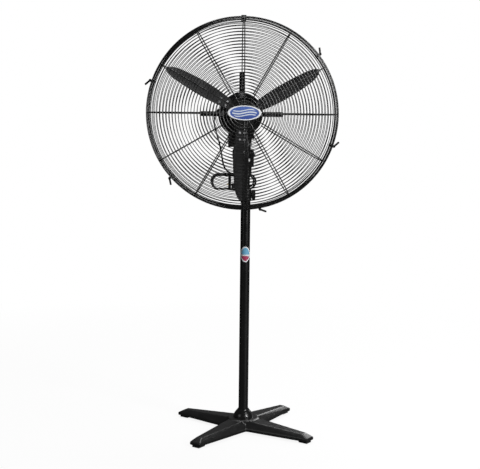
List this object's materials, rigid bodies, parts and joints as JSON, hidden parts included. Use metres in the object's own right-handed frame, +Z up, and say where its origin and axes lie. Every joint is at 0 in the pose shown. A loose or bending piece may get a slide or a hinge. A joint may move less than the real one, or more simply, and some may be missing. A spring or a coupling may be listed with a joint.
{
  "type": "pedestal fan",
  "caption": "Oscillating pedestal fan: blades in a round wire guard on a tilting, swinging motor head, a pole of adjustable height and a cast cross foot.",
  "frame": {"origin": "on the floor, on the axis of the pole", "axes": "+Z up along the pole, the fan blows towards -Y, +X is the side of the height knob"},
  "size_m": [0.7288, 0.5183, 1.608],
  "materials": {
    "cast_black": "satin black paint over casting",
    "pad_black": "moulded rubber",
    "gloss_black": "satin black powder coat",
    "label": null,
    "knob_black": "moulded plastic",
    "nylon": "natural nylon",
    "zinc": "zinc plated",
    "motor_black": "satin black paint",
    "lamination": "stacked steel sheet",
    "copper": "varnished winding wire",
    "wire_black": "powder coated wire",
    "badge": null,
    "cord_black": "extruded PVC",
    "plug_black": "moulded PVC",
    "brass_pin": "plated brass",
    "blade": "satin charcoal paint on aluminium sheet",
    "shaft_steel": "ground steel",
    "white_plastic": "moulded plastic"
  },
  "bodies": {
    "stand": {"base_cross": "cast_black", "foot_pads": "pad_black", "dome_collar": "gloss_black", "base_screws": "zinc", "pole_tube": "gloss_black", "pole_label": "label", "lock_collar": "cast_black", "pole_bushing": "nylon"},
    "lock_knob": {"lock_knob": "knob_black"},
    "mast": {"mast_tube": "gloss_black", "mast_head": "cast_black", "tilt_bolt": "zinc"},
    "tilt_knob": {"tilt_knob": "knob_black"},
    "neck": {"neck_body": "cast_black", "swivel_pin": "shaft_steel"},
    "head": {"motor_bracket": "cast_black", "front_shell": "motor_black", "stator": "lamination", "windings": "copper", "rear_shell": "motor_black", "gearbox": "motor_black", "motor_bolts": "zinc", "bearings": "shaft_steel", "capacitor": "white_plastic", "control_box": "knob_black", "switch_body": "white_plastic", "cord_gland": "cord_black", "guard_straps": "gloss_black", "strap_screws": "zinc", "rear_ribs": "wire_black", "rear_rings": "wire_black", "front_ribs": "wire_black", "latch_pins": "wire_black", "front_rings": "wire_black", "guard_hook": "wire_black", "badge_plate": "badge", "cord_run": "cord_black", "cord_hank": "cord_black", "cord_tie": "cord_black", "plug_body": "plug_black", "plug_pins": "brass_pin"},
    "latch_1": {"latch_1": "wire_black"},
    "latch_2": {"latch_2": "wire_black"},
    "latch_3": {"latch_3": "wire_black"},
    "latch_4": {"latch_4": "wire_black"},
    "latch_5": {"latch_5": "wire_black"},
    "speed_knob": {"speed_knob": "knob_black"},
    "swing_knob": {"swing_knob": "knob_black"},
    "crank": {"crank": "zinc"},
    "rotor": {"rotor_shaft": "shaft_steel", "rotor_core": "lamination", "blade_hub": "cast_black", "blades": "blade", "blade_rivets": "zinc", "hub_nut": "zinc"}
  },
  "joints": [
    {"name": "height_slide", "type": "slide", "parent": "stand", "child": "mast", "axis": [0, 0, 1], "range_m": [-0.04, 0.25]},
    {"name": "lock_knob_turn", "type": "hinge", "parent": "stand", "child": "lock_knob", "pos_m": [0.03, 0, 0.933], "axis": [1, 0, 0], "range_deg": [0, 360]},
    {"name": "head_tilt", "type": "hinge", "parent": "mast", "child": "neck", "pos_m": [0, 0, 1.092], "axis": [1, 0, 0], "range_deg": [-15, 10]},
    {"name": "tilt_knob_turn", "type": "hinge", "parent": "mast", "child": "tilt_knob", "pos_m": [-0.047, 0, 1.092], "axis": [1, 0, 0], "range_deg": [0, 360]},
    {"name": "head_swing", "type": "hinge", "parent": "neck", "child": "head", "pos_m": [0, 0, 1.14], "axis": [0, 0, 1], "range_deg": [-35, 35]},
    {"name": "crank_turn", "type": "hinge", "parent": "head", "child": "crank", "pos_m": [0, 0.046, 1.145], "axis": [0, 0, 1], "range_deg": [-90.5, 90.5]},
    {"name": "fan_spin", "type": "hinge", "parent": "head", "child": "rotor", "pos_m": [-0.026, -0.155, 1.245], "axis": [0, 1, 0], "continuous": true},
    {"name": "speed_knob_turn", "type": "hinge", "parent": "head", "child": "speed_knob", "pos_m": [-0.053, 0.036, 1.137], "axis": [0, 1, 0], "range_deg": [0, 135]},
    {"name": "swing_knob_pull", "type": "slide", "parent": "head", "child": "swing_knob", "axis": [0, 0, 1], "range_m": [0, 0.009]},
    {"name": "latch_1_turn", "type": "hinge", "parent": "head", "child": "latch_1", "pos_m": [0.26123, -0.162, 1.46941], "axis": [0, 1, 0], "range_deg": [0, 60]},
    {"name": "latch_2_turn", "type": "hinge", "parent": "head", "child": "latch_2", "pos_m": [-0.37064, -0.162, 1.36367], "axis": [0, 1, 0], "range_deg": [0, 60]},
    {"name": "latch_3_turn", "type": "hinge", "parent": "head", "child": "latch_3", "pos_m": [-0.29688, -0.162, 1.0011], "axis": [0, 1, 0], "range_deg": [0, 60]},
    {"name": "latch_4_turn", "type": "hinge", "parent": "head", "child": "latch_4", "pos_m": [0.04355, -0.162, 0.8872], "axis": [0, 1, 0], "range_deg": [0, 60]},
    {"name": "latch_5_turn", "type": "hinge", "parent": "head", "child": "latch_5", "pos_m": [0.31864, -0.162, 1.12633], "axis": [0, 1, 0], "range_deg": [0, 60]}
  ],
  "couplings": [
    {"joint": "crank_turn", "follows": "head_swing", "ratio": -2.5714}
  ]
}
